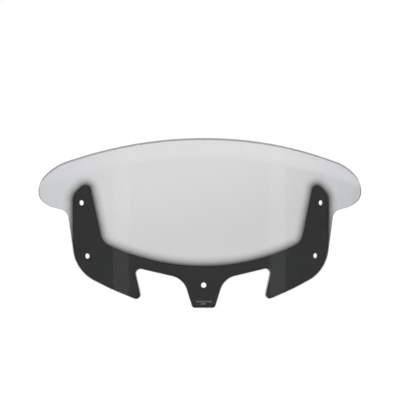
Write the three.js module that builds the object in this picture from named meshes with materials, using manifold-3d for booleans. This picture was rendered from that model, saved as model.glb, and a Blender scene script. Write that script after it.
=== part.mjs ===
// Bare replacement windscreen for a touring-motorcycle fairing.
// One sheet of lightly tinted polycarbonate is formed with a wide wrap, two flared wings and a lip
// that kicks forward along the top. The blackout is screen-printed on its rear face.
// Millimetres, +X across the screen, +Z up, the front face looks towards -Y.
// Outlines are drawn as seen from the front, from the bottom of the centre tab. The finished group
// is lowered so that its origin lies in the centre screw hole, on the front face.
import * as THREE from "three";
import { mergeVertices } from "three/addons/utils/BufferGeometryUtils.js";
import { TessellateModifier } from "three/addons/modifiers/TessellateModifier.js";
import Module from "manifold-3d";

// Sheet
const SHEET_THICKNESS = 4.76;
const WRAP_RADIUS = 520;
const WING_START_X = 225;
const WING_SLOPE = 0.38;
const WING_BLEND = 26;
const LIP_START_Z = 270;
const LIP_SLOPE = 0.95;
const LIP_BLEND = 24;
const LIP_ARCH_RADIUS = 750;

// Screw holes: centre of each, and the size of a 3/8 inch clearance hole
const SCREW_HOLE_RADIUS = 4.75;
const CENTRE_HOLE_Z = 41.4;
const SCREW_HOLES = [
  { x: 0, z: CENTRE_HOLE_Z },
  { x: 209.2, z: 93.4 },
  { x: -209.2, z: 93.4 },
  { x: 219.7, z: 190.2 },
  { x: -219.7, z: 190.2 },
];

// Print: the solids stand for ink layers, so they are far thicker than real ink
const PRINT_THICKNESS = 0.25;
const PRINT_GAP = 0.3;
const PRINT_HOLE_RADIUS = SCREW_HOLE_RADIUS + 0.6;
const BAND_EDGE_X = 235.2;
const BAND_ARM_TOP_Z = 221.9;
const BAND_ARCH_RADIUS = 415;
const FADE_WIDTH = 14;
const FADE_OUTER_WIDTH = 8;
const FADE_FOOT_Z = 132;
const BELOW_SHEET_Z = -20;
const MARK_BARS = [
  { name: "mark_bar_upper", width: 28.6, height: 2, z: 11.5 },
  { name: "mark_bar_lower", width: 10, height: 1.6, z: 7.4 },
];

// Facets of the formed surface
const COLUMN_WIDTH = 14;
const COLUMNS = 44;
const RULED_ROWS = [-30, 90, 202];
const LIP_ROW_HEIGHT = 9;
const LIP_ROWS = 13;
const OUTLINE_STEP = 7;
const CUTTER_FACET = 20;
const CUTTER_PASSES = 20;
const CUTTER_REACH = 9;

const wasm = await Module();
wasm.setup();

// Right-hand half of the sheet's outline as corners [x, z, corner radius], from the top arch round
// the wing, the side lobe, its tooth, the vent notch and the centre tab.
const SHEET_CORNERS = [
  [0, 345.6, 749],
  [266.3, 255.7, 100],
  [297.2, 225.2, 37],
  [296.7, 198.6, 22],
  [278.8, 184, 45],
  [244.2, 174.7, 17],
  [229.5, 65, 70],
  [165, 32.6, 400],
  [110.2, 10.2, 8.5],
  [124.4, 72.8, 8],
  [37.1, 52.7, 35.7],
  [20.6, 0, 6],
];

// Right-hand half of the top of the black, grown by a margin: along the arch between the arms, up
// an arm, over its end and on to the outer edge.
function inkTopCorners(margin, edgeX) {
  const armTopZ = BAND_ARM_TOP_Z + margin;
  return [
    [0, 37.5 + 1.09 * margin, BAND_ARCH_RADIUS - margin],
    [183 - 0.87 * margin, 117.5 + 0.71 * margin, 28 - margin],
    [205.6 - margin, armTopZ, 8 + margin],
    [217 + 0.4 * margin, armTopZ, 12 + margin],
    [edgeX, 205 + 0.6 * margin, 26 + margin],
  ];
}

// The solid black runs off the sheet below its top edge.
function bandCorners(margin) {
  const edgeX = BAND_EDGE_X + margin;
  return [...inkTopCorners(margin, edgeX), [edgeX, BELOW_SHEET_Z, 1]];
}

// The fade also runs down the outer edge of each arm, as far as the clear strip there is wide enough.
function fadeCorners() {
  const edgeX = BAND_EDGE_X + FADE_OUTER_WIDTH;
  const insideX = BAND_EDGE_X - FADE_OUTER_WIDTH;
  return [
    ...inkTopCorners(FADE_WIDTH, edgeX),
    [edgeX, FADE_FOOT_Z, 1],
    [insideX, FADE_FOOT_Z, 1],
    [insideX, BELOW_SHEET_Z, 1],
  ];
}

// A bend that starts at distance 0, eases in over the blend and then runs straight.
function easedRamp(distance, slope, blend) {
  const d = Math.max(distance, 0);
  return d < blend ? (slope * d * d) / (2 * blend) : slope * (d - blend / 2);
}

// How far the front face lies behind its foremost centre line.
function frontDepth(x, z) {
  const wrap = WRAP_RADIUS - Math.sqrt(WRAP_RADIUS ** 2 - x * x);
  const wing = easedRamp(Math.abs(x) - WING_START_X, WING_SLOPE, WING_BLEND);
  const lipStart = LIP_START_Z - (x * x) / (2 * LIP_ARCH_RADIUS);
  return wrap - wing - easedRamp(z - lipStart, LIP_SLOPE, LIP_BLEND);
}

// Unit normal of the front face, pointing to the rear.
function rearNormal(x, z) {
  const h = 0.5;
  const slopeX = (frontDepth(x + h, z) - frontDepth(x - h, z)) / (2 * h);
  const slopeZ = (frontDepth(x, z + h) - frontDepth(x, z - h)) / (2 * h);
  return new THREE.Vector3(-slopeX, 1, -slopeZ).normalize();
}

// Point of the sheet behind the front face's (x, z), at a depth measured square to the face.
function sheetPoint(x, z, depth) {
  const front = new THREE.Vector3(x, frontDepth(x, z), z);
  return front.addScaledVector(rearNormal(x, z), depth);
}

// Turns a geometry with merged vertices into a manifold-3d solid.
function solidOf(geometry) {
  const bare = geometry.index ? geometry.toNonIndexed() : geometry.clone();
  bare.deleteAttribute("normal");
  bare.deleteAttribute("uv");
  const merged = mergeVertices(bare, 1e-3);
  const mesh = new wasm.Mesh({
    numProp: 3,
    vertProperties: new Float32Array(merged.attributes.position.array),
    triVerts: new Uint32Array(merged.index.array),
  });
  return new wasm.Manifold(mesh);
}

// Moves every vertex of a flat geometry by a rule that takes and returns a Vector3.
function reshape(geometry, rule) {
  const position = geometry.attributes.position;
  const point = new THREE.Vector3();
  for (let i = 0; i < position.count; i++) {
    const moved = rule(point.fromBufferAttribute(position, i));
    position.setXYZ(i, moved.x, moved.y, moved.z);
  }
  return geometry;
}

// Height of a grid row: the ruled body needs few rows, the lip needs many.
function rowHeight(row) {
  const lastRuled = RULED_ROWS.length - 1;
  if (row <= lastRuled) return RULED_ROWS[row];
  return RULED_ROWS[lastRuled] + (row - lastRuled) * LIP_ROW_HEIGHT;
}

// An untrimmed layer of the formed shape between two depths behind the front face.
function formedLayer(nearDepth, farDepth) {
  const rows = RULED_ROWS.length - 1 + LIP_ROWS;
  const flat = new THREE.BoxGeometry(COLUMNS, rows, 1, COLUMNS, rows, 1);
  const formed = reshape(flat, (p) => {
    const x = p.x * COLUMN_WIDTH;
    const z = rowHeight(Math.round(p.y + rows / 2));
    return sheetPoint(x, z, p.z > 0 ? nearDepth : farDepth);
  });
  return solidOf(formed);
}

// Corners of a half outline, with the left-hand half mirrored from the right.
function mirrored(corners) {
  const onAxis = corners.filter(([x]) => x === 0);
  const right = corners.filter(([x]) => x !== 0);
  const left = right.map(([x, z, r]) => [-x, z, r]).reverse();
  return [...onAxis, ...right, ...left];
}

// Closed outline through corners, each rounded by an arc of its own radius.
function roundedShape(corners) {
  const points = [];
  corners.forEach(([x, z, radius], i) => {
    const corner = new THREE.Vector2(x, z);
    const before = corners[(i + corners.length - 1) % corners.length];
    const after = corners[(i + 1) % corners.length];
    const toBefore = new THREE.Vector2(before[0] - x, before[1] - z).normalize();
    const toAfter = new THREE.Vector2(after[0] - x, after[1] - z).normalize();
    const halfAngle = Math.acos(toBefore.dot(toAfter)) / 2;
    const bisector = toBefore.clone().add(toAfter).normalize();
    const centre = corner.clone().addScaledVector(bisector, radius / Math.sin(halfAngle));
    const start = corner.clone().addScaledVector(toBefore, radius / Math.tan(halfAngle));
    const turn = Math.PI - 2 * halfAngle;
    const steps = Math.max(3, Math.ceil((radius * turn) / OUTLINE_STEP));
    const way = Math.sign(toAfter.cross(toBefore));
    for (let k = 0; k <= steps; k++) {
      points.push(start.clone().rotateAround(centre, (way * turn * k) / steps));
    }
  });
  return new THREE.Shape(points);
}

// A cutter whose walls stand square to the formed sheet along an outline.
function outlineCutter(shape) {
  const flat = new THREE.ExtrudeGeometry(shape, { depth: 2 * CUTTER_REACH, bevelEnabled: false });
  const fine = new TessellateModifier(CUTTER_FACET, CUTTER_PASSES).modify(flat);
  return solidOf(reshape(fine, (p) => sheetPoint(p.x, p.y, CUTTER_REACH - p.z)));
}

// A round drill through the sheet, square to it, at a screw hole.
function holeDrill({ x, z }, radius) {
  const drill = new THREE.CylinderGeometry(radius, radius, 3 * CUTTER_REACH, 32);
  const alongNormal = new THREE.Quaternion().setFromUnitVectors(
    new THREE.Vector3(0, 1, 0),
    rearNormal(x, z),
  );
  const middle = sheetPoint(x, z, SHEET_THICKNESS / 2);
  drill.applyQuaternion(alongNormal).translate(middle.x, middle.y, middle.z);
  return solidOf(drill);
}

// A rectangular cutter straight through the flat tab.
function barCutter({ width, height, z }, growth) {
  const bar = new THREE.BoxGeometry(width + 2 * growth, 4 * CUTTER_REACH, height + 2 * growth);
  return solidOf(bar.translate(0, 0, z));
}

function drilled(solid, radius) {
  return SCREW_HOLES.reduce((rest, hole) => rest.subtract(holeDrill(hole, radius)), solid);
}

// The black band and the fade on the sheet's rear face, before they are told apart.
function printedLayer(sheetCutter) {
  const near = SHEET_THICKNESS + PRINT_GAP;
  const layer = formedLayer(near, near + PRINT_THICKNESS).intersect(sheetCutter);
  return drilled(layer, PRINT_HOLE_RADIUS);
}

function finishedMesh(name, solid, material) {
  const { numProp, vertProperties, triVerts } = solid.getMesh();
  const interleaved = new THREE.InterleavedBuffer(vertProperties, numProp);
  const geometry = new THREE.BufferGeometry();
  geometry.setAttribute("position", new THREE.InterleavedBufferAttribute(interleaved, 3, 0));
  geometry.setIndex(new THREE.BufferAttribute(triVerts, 1));
  const plain = geometry.toNonIndexed();
  plain.computeVertexNormals();
  const mesh = new THREE.Mesh(plain, material);
  mesh.name = name;
  return mesh;
}

function plasticMaterial(color, roughness, opacity) {
  const transparent = opacity < 1;
  return new THREE.MeshStandardMaterial({ color, roughness, metalness: 0, transparent, opacity });
}

const tintedSheet = plasticMaterial(0xc4c7ca, 0.06, 0.45);
const blackInk = plasticMaterial(0x1c1d1f, 0.3, 1);
const fadedInk = plasticMaterial(0x6f6a6b, 0.35, 0.6);
const markInk = plasticMaterial(0xd2d4d5, 0.4, 1);

const sheetCutter = outlineCutter(roundedShape(mirrored(SHEET_CORNERS)));
const bandCutter = outlineCutter(roundedShape(mirrored(bandCorners(0))));
const bandClearance = outlineCutter(roundedShape(mirrored(bandCorners(PRINT_GAP))));
const fadeCutter = outlineCutter(roundedShape(mirrored(fadeCorners())));

const windscreen = new THREE.Group();
windscreen.position.z = -CENTRE_HOLE_Z;

const sheet = drilled(formedLayer(0, SHEET_THICKNESS).intersect(sheetCutter), SCREW_HOLE_RADIUS);
windscreen.add(finishedMesh("screen_sheet", sheet, tintedSheet));

const print = printedLayer(sheetCutter);
const band = MARK_BARS.reduce(
  (rest, bar) => rest.subtract(barCutter(bar, PRINT_GAP)),
  print.intersect(bandCutter),
);
windscreen.add(finishedMesh("blackout_band", band, blackInk));

const fade = print.intersect(fadeCutter).subtract(bandClearance);
windscreen.add(finishedMesh("blackout_fade", fade, fadedInk));

for (const bar of MARK_BARS) {
  windscreen.add(finishedMesh(bar.name, print.intersect(barCutter(bar, 0)), markInk));
}

export default windscreen;
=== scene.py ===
"""Bare windscreen for a touring-motorcycle fairing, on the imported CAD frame.

Outlines and the formed surface are worked out in millimetres, as seen from the front and from the
bottom of the centre tab, and turned into metres in the row frame when a point is put in space.
"""

import math

import bpy
import numpy as np
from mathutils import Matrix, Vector
from mathutils.geometry import delaunay_2d_cdt


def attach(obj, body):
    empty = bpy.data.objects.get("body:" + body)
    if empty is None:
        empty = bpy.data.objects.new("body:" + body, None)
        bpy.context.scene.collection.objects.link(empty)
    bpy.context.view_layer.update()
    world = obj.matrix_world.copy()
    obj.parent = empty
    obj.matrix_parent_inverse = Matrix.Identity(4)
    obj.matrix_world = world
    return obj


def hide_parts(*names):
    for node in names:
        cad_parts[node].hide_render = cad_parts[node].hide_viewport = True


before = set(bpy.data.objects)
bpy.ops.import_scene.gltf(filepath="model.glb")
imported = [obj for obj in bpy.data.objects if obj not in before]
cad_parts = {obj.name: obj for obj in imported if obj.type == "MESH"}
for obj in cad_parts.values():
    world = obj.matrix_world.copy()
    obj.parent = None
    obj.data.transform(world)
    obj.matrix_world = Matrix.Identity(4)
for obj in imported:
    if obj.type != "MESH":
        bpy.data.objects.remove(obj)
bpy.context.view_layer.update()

METRES_PER_MM = 0.001

# Formed sheet
SHEET_THICKNESS = 4.76
WRAP_RADIUS = 520
WING_START_X = 225
WING_SLOPE = 0.38
WING_BLEND = 26
LIP_START_Z = 270
LIP_SLOPE = 0.95
LIP_BLEND = 24
LIP_ARCH_RADIUS = 750
SLOPE_STEP = 0.5
EDGE_RADIUS = 0.9
EDGE_ARC_STEPS = 4

# Screw holes
SCREW_HOLE_RADIUS = 4.75
HOLE_CHAMFER = 0.35
HOLE_SIDES = 64
CENTRE_HOLE_Z = 41.4
SCREW_HOLES = [
    (0, CENTRE_HOLE_Z),
    (209.2, 93.4),
    (-209.2, 93.4),
    (219.7, 190.2),
    (-219.7, 190.2),
]

# Print on the rear face
INK_BOND = 0.02
INK_THICKNESS = 0.06
INK_HOLE_MARGIN = 0.1
BAND_EDGE_X = 235.2
BAND_ARM_TOP_Z = 221.9
BAND_ARCH_RADIUS = 415
BELOW_SHEET_Z = -20
FADE_REACH = 20
FADE_POWER = 2.0
MARK_BARS = {
    "mark_bar_upper": (28.6, 2.0, 11.5),
    "mark_bar_lower": (10.0, 1.6, 7.4),
}
MARK_CLEARANCE = 0.05

# Mesh density
OUTLINE_STEP = 2.0
SHEET_GRID = 4.5
BAND_GRID = 5.0
FADE_GRID = 1.6
BAR_GRID = 1.0
WELD_DISTANCE = 1e-5
SMALLEST_AREA = 1e-7

# Right-hand half of the sheet's outline as corners (x, z, corner radius), from the top arch round
# the wing, the side lobe, its tooth, the vent notch and the centre tab.
SHEET_CORNERS = [
    (0, 345.6, 749),
    (266.3, 255.7, 100),
    (297.2, 225.2, 37),
    (296.7, 198.6, 22),
    (278.8, 184, 45),
    (244.2, 174.7, 17),
    (229.5, 65, 70),
    (165, 32.6, 400),
    (110.2, 10.2, 8.5),
    (124.4, 72.8, 8),
    (37.1, 52.7, 35.7),
    (20.6, 0, 6),
]

# Plastic and glass values. Distances are in metres
POLYCARBONATE_IOR = 1.586
TINT_COLOUR = (0.741, 0.742, 0.747, 1)
TINT_DENSITY = 281
# Painted shade: the sheet's base colour darkens towards its sides, between these two distances from the
# centre line
PAINTED_SHADE_START = 0.14
PAINTED_SHADE_STOP = 0.3
PAINTED_SHADE_COLOUR = (0.825, 0.835, 0.85)
INK_SPECULAR = 0.25

# Camera and light, in metres and degrees
VIEW_AZIMUTH = -4.6
VIEW_DISTANCE = 5.0
VIEW_HEIGHT = 0.1539
VIEW_SIDE_OFFSET = -0.0068
LENS_MM = 249
FLOOR_Z = -0.3
FLOOR_RADIUS = 3.0
SOFTBOX_AZIMUTHS = (-32.9, 38.9)
SOFTBOX_DISTANCE = 3.0
SOFTBOX_WIDTH = 0.39
SOFTBOX_HEIGHT = 2.0
SOFTBOX_CENTRE_Z = 0.75
SOFTBOX_RADIANCE = 0.3
SOFTBOX_COLOUR = (1.0, 1.02, 0.98)
WORLD_SEEN = 1.0
WORLD_ON_DIFFUSE = 1.15
WORLD_IN_GLOSS = 0.48
WORLD_BELOW_IN_GLOSS = 1.5
WORLD_BELOW_Z = -0.9
COVE_LEAN = (-0.69, -1.0, 2.5)
COVE_LEAN_RANGE = (-1.084, -1.027)
COVE_THROUGH_SHEET = (0.903, 1.0)


# --- Formed surface -----------------------------------------------------------------------------


def eased_ramp(distance, slope, blend):
    """A bend that starts at distance 0, eases in over the blend and then runs straight."""
    d = np.maximum(distance, 0)
    return np.where(d < blend, slope * d * d / (2 * blend), slope * (d - blend / 2))


def front_depth(x, z):
    """How far the front face lies behind its foremost centre line."""
    wrap = WRAP_RADIUS - np.sqrt(WRAP_RADIUS**2 - x * x)
    wing = eased_ramp(np.abs(x) - WING_START_X, WING_SLOPE, WING_BLEND)
    lip_start = LIP_START_Z - x * x / (2 * LIP_ARCH_RADIUS)
    return wrap - wing - eased_ramp(z - lip_start, LIP_SLOPE, LIP_BLEND)


def rear_normals(flat):
    """Unit normals of the front face at flat points, pointing to the rear."""
    h = SLOPE_STEP
    x, z = flat[:, 0], flat[:, 1]
    slope_x = (front_depth(x + h, z) - front_depth(x - h, z)) / (2 * h)
    slope_z = (front_depth(x, z + h) - front_depth(x, z - h)) / (2 * h)
    normals = np.stack([-slope_x, np.ones_like(x), -slope_z], axis=1)
    return normals / np.linalg.norm(normals, axis=1, keepdims=True)


def formed(flat, depth):
    """Points in the row frame, in metres, of flat points at a depth square to the front face."""
    x, z = flat[:, 0], flat[:, 1]
    front = np.stack([x, front_depth(x, z), z - CENTRE_HOLE_Z], axis=1)
    return (front + rear_normals(flat) * depth) * METRES_PER_MM


# --- Flat outlines ------------------------------------------------------------------------------


def mirrored(corners):
    """Corners of a whole outline from those of its right-hand half."""
    on_axis = [c for c in corners if c[0] == 0]
    right = [c for c in corners if c[0] != 0]
    return on_axis + right + [(-x, z, r) for x, z, r in reversed(right)]


def rounded_outline(corners):
    """Closed outline through corners, each rounded by an arc, with points a step apart."""
    points = []
    spots = [np.array(c[:2], float) for c in corners]
    for i, (corner, (_, _, radius)) in enumerate(zip(spots, corners)):
        to_before = spots[i - 1] - corner
        to_after = spots[(i + 1) % len(spots)] - corner
        to_before /= np.linalg.norm(to_before)
        to_after /= np.linalg.norm(to_after)
        half_angle = math.acos(np.clip(to_before @ to_after, -1, 1)) / 2
        bisector = (to_before + to_after) / np.linalg.norm(to_before + to_after)
        centre = corner + bisector * radius / math.sin(half_angle)
        arm = corner + to_before * radius / math.tan(half_angle) - centre
        turn = math.pi - 2 * half_angle
        way = np.sign(to_after[0] * to_before[1] - to_after[1] * to_before[0])
        steps = max(4, math.ceil(radius * turn / OUTLINE_STEP))
        for angle in way * turn * np.arange(steps + 1) / steps:
            cos, sin = math.cos(angle), math.sin(angle)
            points.append(centre + (cos * arm[0] - sin * arm[1], sin * arm[0] + cos * arm[1]))
    return evenly_spaced(np.array(points))


def evenly_spaced(loop):
    """The same closed loop with extra points, so that no edge is longer than a step."""
    points = []
    for start, end in zip(loop, np.roll(loop, -1, axis=0)):
        pieces = max(1, math.ceil(np.linalg.norm(end - start) / OUTLINE_STEP))
        points += [start + (end - start) * k / pieces for k in range(pieces)]
    return np.array(points)


def outward_normals(loop):
    """Unit normals of a clockwise closed loop, pointing away from its inside."""
    along = np.roll(loop, -1, axis=0) - np.roll(loop, 1, axis=0)
    normals = np.stack([-along[:, 1], along[:, 0]], axis=1)
    return normals / np.linalg.norm(normals, axis=1, keepdims=True)


def hole_outline(hole, radius):
    """A drilled hole's rim as it lies in the flat outline: the wrap foreshortens its width."""
    centre = np.array([hole], float)
    across, up = radius * rear_normals(centre)[0, 1], radius
    turn = np.arange(HOLE_SIDES) * 2 * math.pi / HOLE_SIDES
    return centre + np.stack([across * np.cos(turn), up * np.sin(turn)], axis=1)


def bar_outline(bar, growth):
    """A mark bar's rectangle with small round corners."""
    width, height, z = MARK_BARS[bar]
    w, h = width / 2 + growth, height / 2 + growth
    radius = 0.45 * height
    corners = [(w, z + h), (w, z - h), (-w, z - h), (-w, z + h)]
    return rounded_outline([(*corner, radius) for corner in corners])


def ink_corners(margin):
    """Right-hand half of the blackout's outline, grown by a margin.

    The corners move along their bisectors, so that a grown outline stays parallel to the black.
    """
    arm_top_z = BAND_ARM_TOP_Z + margin
    edge_x = BAND_EDGE_X + margin
    return [
        (0, 37.5 + 1.09 * margin, BAND_ARCH_RADIUS - margin),
        (183 - 0.87 * margin, 117.5 + 0.71 * margin, 28 - margin),
        (205.6 - margin, arm_top_z, 8 + margin),
        (217 + 0.4 * margin, arm_top_z, 12 + margin),
        (edge_x, 205 + 0.6 * margin, 26 + margin),
        (edge_x, BELOW_SHEET_Z, 1),
    ]


def inside(points, loop):
    """True for each point that lies inside the closed loop."""
    x, z = points[:, 0, None], points[:, 1, None]
    x0, z0 = loop[:, 0], loop[:, 1]
    x1, z1 = np.roll(x0, -1), np.roll(z0, -1)
    spans = (z0 > z) != (z1 > z)
    rise = np.where(z1 == z0, 1, z1 - z0)
    crossing = x0 + (z - z0) * (x1 - x0) / rise
    return (np.sum(spans & (x < crossing), axis=1) % 2) == 1


def distance_to(points, loop):
    """Distance from each point to the closed loop."""
    start = loop
    along = np.roll(loop, -1, axis=0) - start
    offset = points[:, None, :] - start
    share = np.sum(offset * along, axis=2) / np.maximum(np.sum(along * along, axis=1), 1e-12)
    nearest = offset - np.clip(share, 0, 1)[..., None] * along
    return np.sqrt(np.sum(nearest * nearest, axis=2)).min(axis=1)


# --- Meshes -------------------------------------------------------------------------------------


def grid_points(loop, step):
    """Staggered grid points over a loop's box."""
    low, high = loop.min(0), loop.max(0)
    rows = np.arange(low[1], high[1], step * math.sqrt(3) / 2)
    points = []
    for i, z in enumerate(rows):
        x = np.arange(low[0] + (i % 2) * step / 2, high[0], step)
        points.append(np.stack([x, np.full_like(x, z)], axis=1))
    return np.concatenate(points)


def triangulated(loops, fill, keep):
    """Flat points and triangles over closed loops and fill points, where keep(centres) is true."""
    points = np.concatenate([*loops, fill])
    edges = []
    first = 0
    for loop in loops:
        count = len(loop)
        edges += [(first + k, first + (k + 1) % count) for k in range(count)]
        first += count
    made = delaunay_2d_cdt([Vector(p) for p in points.tolist()], edges, [], 0, WELD_DISTANCE)
    flat = np.array([tuple(v) for v in made[0]])
    triangles = np.array(made[2])
    a, b, c = (flat[triangles[:, k]] for k in range(3))
    ab, ac = b - a, c - a
    area = ab[:, 0] * ac[:, 1] - ab[:, 1] * ac[:, 0]
    chosen = keep((a + b + c) / 3) & (np.abs(area) > SMALLEST_AREA)
    triangles = np.where(area[:, None] > 0, triangles, triangles[:, ::-1])[chosen]
    used, renumbered = np.unique(triangles, return_inverse=True)
    return flat[used], renumbered.reshape(-1, 3)


def border_edges(triangles):
    """Directed edges that only one triangle has."""
    edges = np.concatenate([triangles[:, [0, 1]], triangles[:, [1, 2]], triangles[:, [2, 0]]])
    present = set(map(tuple, edges.tolist()))
    return [(a, b) for a, b in present if (b, a) not in present]


def mesh_object(name, vertices, faces, normals=None):
    """A smooth-shaded object, with its own normals where they are given."""
    mesh = bpy.data.meshes.new(name)
    mesh.from_pydata(vertices.tolist(), [], faces)
    mesh.validate()
    mesh.shade_smooth()
    if normals is not None:
        mesh.normals_split_custom_set_from_vertices(normals.tolist())
    piece = bpy.data.objects.new(name, mesh)
    bpy.context.scene.collection.objects.link(piece)
    return piece


def finished(piece, node, material):
    """Ties a piece to the frame: its body, the CAD node it stands for and its finish."""
    piece.data.materials.append(material)
    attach(piece, "root")
    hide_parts(node)
    return piece


def edge_profile():
    """Steps round the polished edge, front to rear: inset, depth, and how the normal leans."""
    profile = []
    for k in range(EDGE_ARC_STEPS + 1):
        angle = math.pi / 2 * k / EDGE_ARC_STEPS
        sin, cos = math.sin(angle), math.cos(angle)
        profile.append((EDGE_RADIUS * (1 - sin), EDGE_RADIUS * (1 - cos), sin, -cos))
    rear = [(inset, SHEET_THICKNESS - depth, out, -lean) for inset, depth, out, lean in profile]
    return profile + rear[::-1]


def bore_profile():
    """Steps through a drilled hole, front to rear: how far it is opened out, depth, and the lean."""
    front = [(HOLE_CHAMFER, 0, 0.0, -1.0), (0, HOLE_CHAMFER, 0.92, -0.39)]
    rear = [(opened, SHEET_THICKNESS - depth, out, -lean) for opened, depth, out, lean in front]
    return front + rear[::-1]


def swept_rings(loop, outward, profile):
    """Points and normals of the rings that a profile sweeps along a loop."""
    rings = []
    for inset, depth, out, lean in profile:
        spots = loop - outward * inset
        place = formed(spots, depth)
        away = formed(spots + outward * 0.1, depth) - place
        away /= np.linalg.norm(away, axis=1, keepdims=True)
        normals = away * out + rear_normals(spots) * lean
        rings.append((place, normals))
    return rings


def nearest_numbers(flat, loop):
    """The number of the flat point nearest to each point of a loop."""
    return [int(np.argmin(np.sum((flat - p) ** 2, axis=1))) for p in loop]


def strips_between(rings):
    """Faces that join each closed ring of vertex numbers to the next one."""
    faces = []
    for upper, lower in zip(rings, rings[1:]):
        for k in range(len(upper)):
            following = (k + 1) % len(upper)
            faces.append([upper[k], upper[following], lower[following], lower[k]])
    return faces


def build_sheet(material, rim_material):
    """The moulded sheet: two formed faces, a polished round edge and five chamfered holes."""
    outline = rounded_outline(mirrored(SHEET_CORNERS))
    outward = outward_normals(outline)
    face_rim = outline - outward * EDGE_RADIUS
    hole_rims = [hole_outline(hole, SCREW_HOLE_RADIUS + HOLE_CHAMFER) for hole in SCREW_HOLES]
    fill = grid_points(outline, SHEET_GRID)
    fill = fill[inside(fill, face_rim)]
    fill = fill[distance_to(fill, face_rim) > 0.45 * SHEET_GRID]
    for rim in hole_rims:
        fill = fill[~inside(fill, rim)]
        fill = fill[distance_to(fill, rim) > 0.3 * SHEET_GRID]

    def on_sheet(centres):
        held = inside(centres, face_rim)
        for rim in hole_rims:
            held &= ~inside(centres, rim)
        return held

    flat, triangles = triangulated([face_rim, *hole_rims], fill, on_sheet)
    rear = rear_normals(flat)
    count = len(flat)
    vertices = [formed(flat, 0), formed(flat, SHEET_THICKNESS)]
    normals = [-rear, rear]
    faces = triangles.tolist() + (triangles[:, ::-1] + count).tolist()
    total = 2 * count
    sweeps = [(outline, outward, edge_profile())]
    for hole in SCREW_HOLES:
        bore = hole_outline(hole, SCREW_HOLE_RADIUS)
        sweeps.append((bore, outward_normals(bore), bore_profile()))
    clear_faces = len(faces)
    rim_faces = 0
    for loop, away, profile in sweeps:
        front_ring = nearest_numbers(flat, loop - away * profile[0][0])
        rings = [front_ring]
        for place, normal in swept_rings(loop, away, profile[1:-1]):
            vertices.append(place)
            normals.append(normal)
            rings.append(list(range(total, total + len(loop))))
            total += len(loop)
        rings.append([i + count for i in front_ring])
        faces += strips_between(rings)
        rim_faces = rim_faces or len(faces) - clear_faces
    vertices, normals = np.concatenate(vertices), np.concatenate(normals)
    piece = mesh_object("screen_sheet_moulding", vertices, faces, normals)
    finished(piece, "screen_sheet", material)
    piece.data.materials.append(rim_material)
    on_rim = np.zeros(len(faces), np.int32)
    on_rim[clear_faces : clear_faces + rim_faces] = 1
    piece.data.polygons.foreach_set("material_index", on_rim)
    return piece


def build_ink_layer(name, loops, fill, keep):
    """A closed thin layer on the sheet's rear face over a flat region. Returns it and its points."""
    flat, triangles = triangulated(loops, fill, keep)
    count = len(flat)
    near = SHEET_THICKNESS - INK_BOND
    vertices = np.concatenate([formed(flat, near), formed(flat, near + INK_THICKNESS)])
    faces = triangles.tolist() + (triangles[:, ::-1] + count).tolist()
    for a, b in border_edges(triangles):
        faces.append([b, a, a + count, b + count])
    return mesh_object(name, vertices, faces), flat


def printed_region():
    """Loops shared by the print: the rear face's rim, and the clearances round the holes."""
    outline = rounded_outline(mirrored(SHEET_CORNERS))
    face_rim = outline - outward_normals(outline) * EDGE_RADIUS
    holes = [hole_outline(hole, SCREW_HOLE_RADIUS + INK_HOLE_MARGIN) for hole in SCREW_HOLES]
    return face_rim, holes


def build_band(material):
    face_rim, holes = printed_region()
    solid_edge = rounded_outline(mirrored(ink_corners(0)))
    windows = [bar_outline(bar, MARK_CLEARANCE) for bar in MARK_BARS]

    def printed(points):
        held = inside(points, face_rim) & inside(points, solid_edge)
        for loop in [*holes, *windows]:
            held &= ~inside(points, loop)
        return held

    fill = grid_points(solid_edge, BAND_GRID)
    fill = fill[printed(fill)]
    loops = [face_rim, solid_edge, *holes, *windows]
    for loop in loops:
        fill = fill[distance_to(fill, loop) > 0.3 * BAND_GRID]
    piece, _ = build_ink_layer("blackout_band_print", loops, fill, printed)
    return finished(piece, "blackout_band", material)


def build_fade(material):
    face_rim, _ = printed_region()
    solid_edge = rounded_outline(mirrored(ink_corners(0)))
    fade_edge = rounded_outline(mirrored(ink_corners(FADE_REACH)))

    def printed(points):
        held = inside(points, face_rim) & inside(points, fade_edge) & ~inside(points, solid_edge)
        return held & (points[:, 1] > BELOW_SHEET_Z)

    fill = grid_points(fade_edge, FADE_GRID)
    fill = fill[printed(fill)]
    loops = [face_rim, solid_edge, fade_edge]
    for loop in loops:
        fill = fill[distance_to(fill, loop) > 0.4 * FADE_GRID]
    piece, flat = build_ink_layer("blackout_fade_print", loops, fill, printed)
    share = np.clip(1 - distance_to(flat, solid_edge) / FADE_REACH, 0, 1)
    coverage = share**FADE_POWER
    attribute = piece.data.attributes.new("coverage", "FLOAT", "POINT")
    attribute.data.foreach_set("value", np.tile(coverage, 2).astype(np.float32))
    return finished(piece, "blackout_fade", material)


def build_mark_bar(bar, material):
    loop = bar_outline(bar, 0)
    fill = grid_points(loop, BAR_GRID)
    fill = fill[inside(fill, loop)]
    fill = fill[distance_to(fill, loop) > 0.3 * BAR_GRID]
    piece, _ = build_ink_layer(bar + "_print", [loop], fill, lambda points: inside(points, loop))
    return finished(piece, bar, material)


# --- Materials ----------------------------------------------------------------------------------


def new_material(name):
    """An empty node material. Returns it, its nodes, its links and its shader."""
    material = bpy.data.materials.new(name)
    material.use_nodes = True
    nodes, links = material.node_tree.nodes, material.node_tree.links
    shader = nodes["Principled BSDF"]
    return material, nodes, links, shader


def object_coordinates(nodes):
    return nodes.new("ShaderNodeTexCoord").outputs["Object"]


def noise(nodes, links, scale, detail, vector):
    texture = nodes.new("ShaderNodeTexNoise")
    texture.inputs["Scale"].default_value = scale
    texture.inputs["Detail"].default_value = detail
    links.new(vector, texture.inputs["Vector"])
    return texture.outputs["Fac"]


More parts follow.
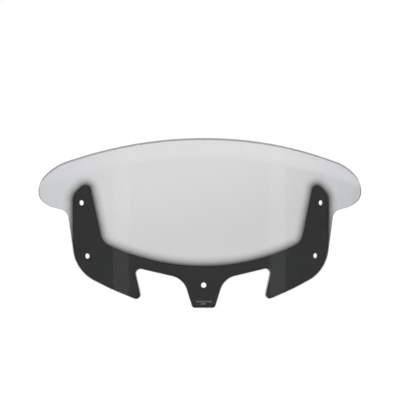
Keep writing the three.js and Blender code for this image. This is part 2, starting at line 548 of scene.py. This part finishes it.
def spread(nodes, links, source, low, high, start=0.3, stop=0.7):
    """Maps a noise's usual range onto low to high."""
    ramp = nodes.new("ShaderNodeMapRange")
    ramp.inputs["From Min"].default_value = start
    ramp.inputs["From Max"].default_value = stop
    ramp.inputs["To Min"].default_value = low
    ramp.inputs["To Max"].default_value = high
    links.new(source, ramp.inputs["Value"])
    return ramp.outputs["Result"]


def calculated(nodes, links, operation, first, second):
    """A Math node on two values, each a socket or a number."""
    node = nodes.new("ShaderNodeMath")
    node.operation = operation
    for slot, value in enumerate((first, second)):
        if isinstance(value, (int, float)):
            node.inputs[slot].default_value = value
        else:
            links.new(value, node.inputs[slot])
    return node.outputs[0]


def bump(nodes, links, height, distance, shader, strength=1.0):
    node = nodes.new("ShaderNodeBump")
    node.inputs["Strength"].default_value = strength
    node.inputs["Distance"].default_value = distance
    links.new(height, node.inputs["Height"])
    links.new(node.outputs["Normal"], shader.inputs["Normal"])


def two_tone(nodes, links, factor, dark, light, shader):
    """A base colour that wanders between two tones."""
    mix = nodes.new("ShaderNodeMix")
    mix.data_type = "RGBA"
    mix.inputs["A"].default_value = (*dark, 1)
    mix.inputs["B"].default_value = (*light, 1)
    links.new(factor, mix.inputs["Factor"])
    links.new(mix.outputs["Result"], shader.inputs["Base Color"])


def outward_share(nodes, links, place, start, stop):
    """From 0 to 1 as a point's distance from the centre line goes from start to stop."""
    split = nodes.new("ShaderNodeSeparateXYZ")
    links.new(place, split.inputs["Vector"])
    across = calculated(nodes, links, "ABSOLUTE", split.outputs["X"], 0.0)
    return spread(nodes, links, across, 0.0, 1.0, start, stop)


def sheet_absorption(nodes, links):
    """Light lost along the way through the tinted plastic."""
    tint = nodes.new("ShaderNodeVolumeAbsorption")
    tint.inputs["Color"].default_value = TINT_COLOUR
    tint.inputs["Density"].default_value = TINT_DENSITY
    links.new(tint.outputs["Volume"], nodes["Material Output"].inputs["Volume"])


def tinted_polycarbonate():
    """Clear smoke-tinted sheet: it absorbs light along its thickness, has painted shade that makes its
    base colour a little darker towards its sides, and has faint handling marks.
    """
    material, nodes, links, shader = new_material("tinted_polycarbonate")
    shader.inputs["IOR"].default_value = POLYCARBONATE_IOR
    shader.inputs["Transmission Weight"].default_value = 1.0
    place = object_coordinates(nodes)
    # Painted shade: the base colour goes darker towards the sheet's sides
    painted_shade = outward_share(nodes, links, place, PAINTED_SHADE_START, PAINTED_SHADE_STOP)
    two_tone(nodes, links, painted_shade, (1.0, 1.0, 1.0), PAINTED_SHADE_COLOUR, shader)
    haze = noise(nodes, links, 38, 4, place)
    links.new(spread(nodes, links, haze, 0.0, 0.035), shader.inputs["Roughness"])
    ripple = noise(nodes, links, 9, 1, place)
    bump(nodes, links, ripple, 0.0006, shader)
    sheet_absorption(nodes, links)
    return material


def trimmed_rim():
    """The sheet's cut edge: routed and buffed, so it is hazier than the faces."""
    material, nodes, links, shader = new_material("trimmed_rim")
    shader.inputs["IOR"].default_value = POLYCARBONATE_IOR
    shader.inputs["Transmission Weight"].default_value = 0.5
    place = object_coordinates(nodes)
    marks = noise(nodes, links, 420, 3, place)
    two_tone(nodes, links, marks, (0.58, 0.585, 0.595), (0.72, 0.725, 0.735), shader)
    links.new(spread(nodes, links, marks, 0.3, 0.5), shader.inputs["Roughness"])
    sheet_absorption(nodes, links)
    return material


def blackout_ink():
    """Screen-printed black with the fine tooth of the print mesh."""
    material, nodes, links, shader = new_material("blackout_ink")
    place = object_coordinates(nodes)
    patches = noise(nodes, links, 26, 5, place)
    two_tone(nodes, links, patches, (0.011, 0.014, 0.016), (0.024, 0.029, 0.033), shader)
    sheen = noise(nodes, links, 90, 3, place)
    links.new(spread(nodes, links, sheen, 0.34, 0.5), shader.inputs["Roughness"])
    shader.inputs["Specular IOR Level"].default_value = INK_SPECULAR
    bump(nodes, links, noise(nodes, links, 2600, 2, place), 0.00004, shader, 0.6)
    return material


def faded_ink():
    """The same ink thinned out to nothing, broken up by a fine dot screen."""
    material, nodes, links, shader = new_material("faded_ink")
    place = object_coordinates(nodes)
    patches = noise(nodes, links, 60, 4, place)
    two_tone(nodes, links, patches, (0.014, 0.012, 0.012), (0.028, 0.024, 0.024), shader)
    shader.inputs["Roughness"].default_value = 0.5
    shader.inputs["Specular IOR Level"].default_value = INK_SPECULAR
    coverage = nodes.new("ShaderNodeAttribute")
    coverage.attribute_name = "coverage"
    dots = spread(nodes, links, noise(nodes, links, 900, 1, place), 0.86, 1.1)
    broken = calculated(nodes, links, "MULTIPLY", coverage.outputs["Fac"], dots)
    clear = calculated(nodes, links, "SUBTRACT", 1.0, broken)
    capped = calculated(nodes, links, "MAXIMUM", clear, 0.0)
    one_face = calculated(nodes, links, "SQRT", capped, 0.0)
    links.new(calculated(nodes, links, "SUBTRACT", 1.0, one_face), shader.inputs["Alpha"])
    return material


def mark_ink():
    """Pale grey ink, a little uneven where it is thin."""
    material, nodes, links, shader = new_material("mark_ink")
    place = object_coordinates(nodes)
    thinness = noise(nodes, links, 700, 3, place)
    two_tone(nodes, links, thinness, (0.45, 0.46, 0.47), (0.85, 0.86, 0.87), shader)
    sheen = noise(nodes, links, 500, 2, place)
    links.new(spread(nodes, links, sheen, 0.4, 0.6), shader.inputs["Roughness"])
    return material


# --- Stage --------------------------------------------------------------------------------------


def build_world():
    """A white cove to look at and to light by. How bright it is depends on the kind of ray.

    It is dim in reflections, except from below. Seen through the sheet from the front, it is a
    little darker towards its lower right.
    """
    world = bpy.data.worlds.new("studio")
    bpy.context.scene.world = world
    world.use_nodes = True
    nodes, links = world.node_tree.nodes, world.node_tree.links
    path = nodes.new("ShaderNodeLightPath")
    unbent = calculated(nodes, links, "SUBTRACT", 1.0, path.outputs["Is Transmission Ray"])
    mirrored_ray = calculated(nodes, links, "MULTIPLY", path.outputs["Is Glossy Ray"], unbent)
    heading = nodes.new("ShaderNodeTexCoord").outputs["Generated"]
    split = nodes.new("ShaderNodeSeparateXYZ")
    links.new(heading, split.inputs["Vector"])
    dim, bright = WORLD_IN_GLOSS - WORLD_SEEN, WORLD_BELOW_IN_GLOSS - WORLD_SEEN
    in_gloss = spread(nodes, links, split.outputs["Z"], dim, bright, 0.0, WORLD_BELOW_Z)
    glossy = calculated(nodes, links, "MULTIPLY", mirrored_ray, in_gloss)
    on_diffuse = WORLD_ON_DIFFUSE - WORLD_SEEN
    diffuse = calculated(nodes, links, "MULTIPLY", path.outputs["Is Diffuse Ray"], on_diffuse)
    lean = nodes.new("ShaderNodeVectorMath")
    lean.operation = "DOT_PRODUCT"
    lean.inputs[1].default_value = COVE_LEAN
    links.new(heading, lean.inputs[0])
    low, high = (level - WORLD_SEEN for level in COVE_THROUGH_SHEET)
    cove = spread(nodes, links, lean.outputs["Value"], low, high, *COVE_LEAN_RANGE)
    through = calculated(nodes, links, "MULTIPLY", path.outputs["Is Transmission Ray"], cove)
    unseen = calculated(nodes, links, "ADD", glossy, diffuse)
    extra = calculated(nodes, links, "ADD", unseen, through)
    background = nodes["Background"]
    background.inputs["Color"].default_value = (1, 1, 1, 1)
    links.new(calculated(nodes, links, "ADD", extra, WORLD_SEEN), background.inputs["Strength"])


def build_floor():
    """A round pale floor well below the windscreen."""
    turn = np.arange(96) * 2 * math.pi / 96
    rim = np.stack([np.cos(turn), np.sin(turn), np.zeros(96)], axis=1) * FLOOR_RADIUS
    rim[:, 2] = FLOOR_Z
    floor = mesh_object("floor", rim, [list(range(96))])
    material, nodes, links, shader = new_material("pale_floor")
    place = object_coordinates(nodes)
    patches = noise(nodes, links, 3, 2, place)
    two_tone(nodes, links, patches, (0.9, 0.9, 0.9), (0.92, 0.92, 0.92), shader)
    shader.inputs["Roughness"].default_value = 0.9
    shader.inputs["Specular IOR Level"].default_value = 0.0
    floor.data.materials.append(material)
    floor.visible_glossy = False


def direction(azimuth):
    """Level unit vector from the windscreen towards a viewer at an azimuth, 0 being straight in front."""
    turn = math.radians(azimuth)
    return Vector((math.sin(turn), -math.cos(turn), 0))


def build_softboxes():
    """Two tall strip lights, seen only as reflections and as light."""
    for number, azimuth in enumerate(SOFTBOX_AZIMUTHS):
        light = bpy.data.lights.new(f"softbox_{number}", "AREA")
        light.shape = "RECTANGLE"
        light.size = SOFTBOX_WIDTH
        light.size_y = SOFTBOX_HEIGHT
        light.color = SOFTBOX_COLOUR
        light.energy = SOFTBOX_RADIANCE * math.pi * SOFTBOX_WIDTH * SOFTBOX_HEIGHT
        lamp = bpy.data.objects.new(light.name, light)
        lamp.location = direction(azimuth) * SOFTBOX_DISTANCE + Vector((0, 0, SOFTBOX_CENTRE_Z))
        lamp.rotation_euler = direction(azimuth).to_track_quat("Z", "Y").to_euler()
        lamp.visible_camera = False
        lamp.visible_transmission = False
        bpy.context.scene.collection.objects.link(lamp)


def build_camera():
    right = Vector((math.cos(math.radians(VIEW_AZIMUTH)), math.sin(math.radians(VIEW_AZIMUTH)), 0))
    back = direction(VIEW_AZIMUTH)
    camera = bpy.data.objects.new("camera", bpy.data.cameras.new("camera"))
    camera.data.lens = LENS_MM
    camera.data.clip_end = 50
    camera.location = right * VIEW_SIDE_OFFSET + back * VIEW_DISTANCE + Vector((0, 0, VIEW_HEIGHT))
    camera.rotation_euler = back.to_track_quat("Z", "Y").to_euler()
    bpy.context.scene.collection.objects.link(camera)
    bpy.context.scene.camera = camera


def build_windscreen():
    build_sheet(tinted_polycarbonate(), trimmed_rim())
    build_band(blackout_ink())
    build_fade(faded_ink())
    mark_material = mark_ink()
    for bar in MARK_BARS:
        build_mark_bar(bar, mark_material)


bpy.context.scene.view_settings.view_transform = "Standard"
build_camera()
build_world()
build_floor()
build_softboxes()
build_windscreen()
